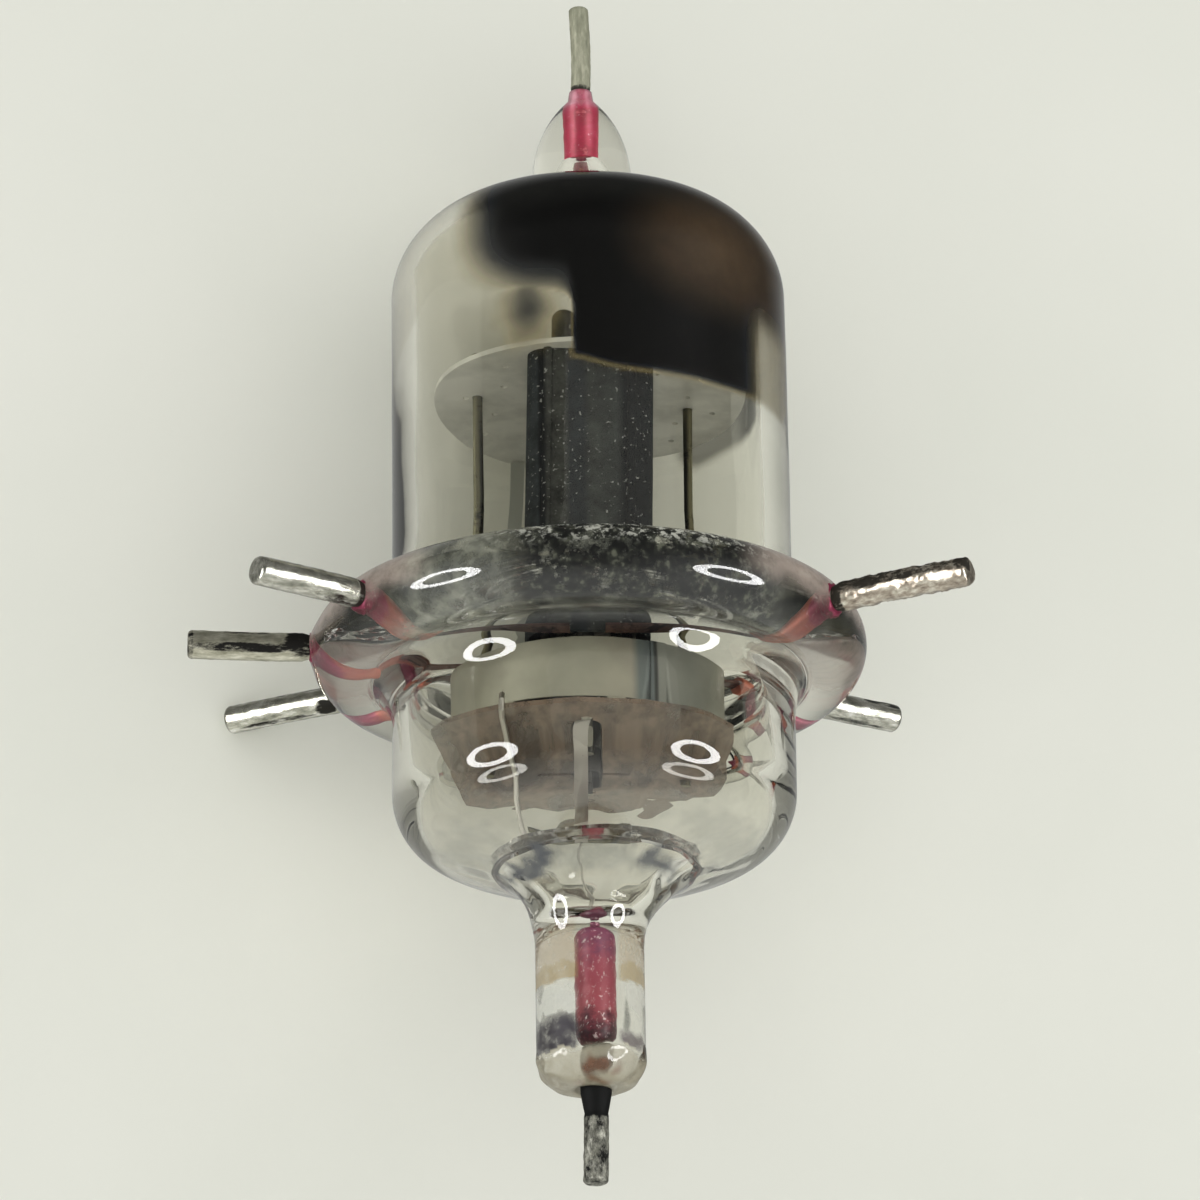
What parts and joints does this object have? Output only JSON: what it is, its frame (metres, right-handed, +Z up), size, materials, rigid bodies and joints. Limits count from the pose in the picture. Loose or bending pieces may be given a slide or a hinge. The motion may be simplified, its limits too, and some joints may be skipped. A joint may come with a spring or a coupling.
{
  "type": "acorn vacuum tube",
  "caption": "Small all-glass vacuum tube with radial pins in a bead round its waist, a pin at each end, and its electrodes seen through the clear bulb.",
  "frame": {"origin": "under the middle of the tube's outer box, on the surface that the tube lies on", "axes": "+Y along the lying tube towards the grid pin's end, +X across it towards the pair of radial pins, +Z up"},
  "size_m": [0.0268, 0.044, 0.0203],
  "materials": {
    "bulb_glass": "blown soft glass, fire polished",
    "getter_film": "evaporated metal film, black mirror with a brown edge",
    "pin_nickel": "drawn nickel wire, dulled, with dark tarnish",
    "grid_pin_metal": "drawn nickel wire, grey-green satin",
    "plate_pin_metal": "drawn nickel wire, mottled dark",
    "seal_copper": "copper-clad seal wire, crimson where glass covers it",
    "lead_copper": "bare copper-clad wire, salmon",
    "ribbon_nickel": "nickel ribbon, brown from heat",
    "bright_nickel": "nickel strip, bright",
    "anode_black": "carbonised nickel sheet, matt black",
    "grid_wire": "drawn grid wire, bright",
    "grid_gilt": "gold-flashed grid wire",
    "oxide_coat": "nickel sleeve with sprayed white oxide",
    "heater_coat": "wire with a fired white insulating coat",
    "mica_clear": "split mica sheet, clear grey",
    "mica_brown": "split mica sheet, smoked brown",
    "shield_nickel": "drawn nickel cup, dull khaki grey",
    "rod_nickel": "nickel rod, olive from heat",
    "carrier_steel": "stamped carrier, darkened by firing"
  },
  "bodies": {
    "root": {"upper_bulb": "bulb_glass", "lower_bulb": "bulb_glass", "getter_film": "getter_film", "heater_pin_a": "pin_nickel", "cathode_pin": "pin_nickel", "heater_pin_b": "pin_nickel", "screen_pin": "pin_nickel", "suppressor_pin": "pin_nickel", "heater_seal_a": "seal_copper", "cathode_seal": "seal_copper", "heater_seal_b": "seal_copper", "screen_seal": "seal_copper", "suppressor_seal": "seal_copper", "heater_strap_a": "ribbon_nickel", "cathode_strap": "ribbon_nickel", "heater_strap_b": "ribbon_nickel", "screen_strap": "ribbon_nickel", "suppressor_strap": "ribbon_nickel", "grid_pin": "grid_pin_metal", "grid_seal": "seal_copper", "grid_lead": "lead_copper", "plate_pin": "plate_pin_metal", "plate_seal": "seal_copper", "plate_lead": "bright_nickel", "plate_bar": "ribbon_nickel", "anode_strap": "bright_nickel", "mount_wire": "bright_nickel", "anode": "anode_black", "suppressor_grid": "grid_wire", "screen_grid": "grid_wire", "control_grid": "grid_gilt", "cathode_sleeve": "oxide_coat", "heater": "heater_coat", "upper_mica": "mica_clear", "lower_mica": "mica_brown", "shield_cup": "shield_nickel", "left_support_rod": "rod_nickel", "right_support_rod": "rod_nickel", "rear_stay": "bright_nickel", "getter_carrier": "carrier_steel"}
  },
  "joints": []
}
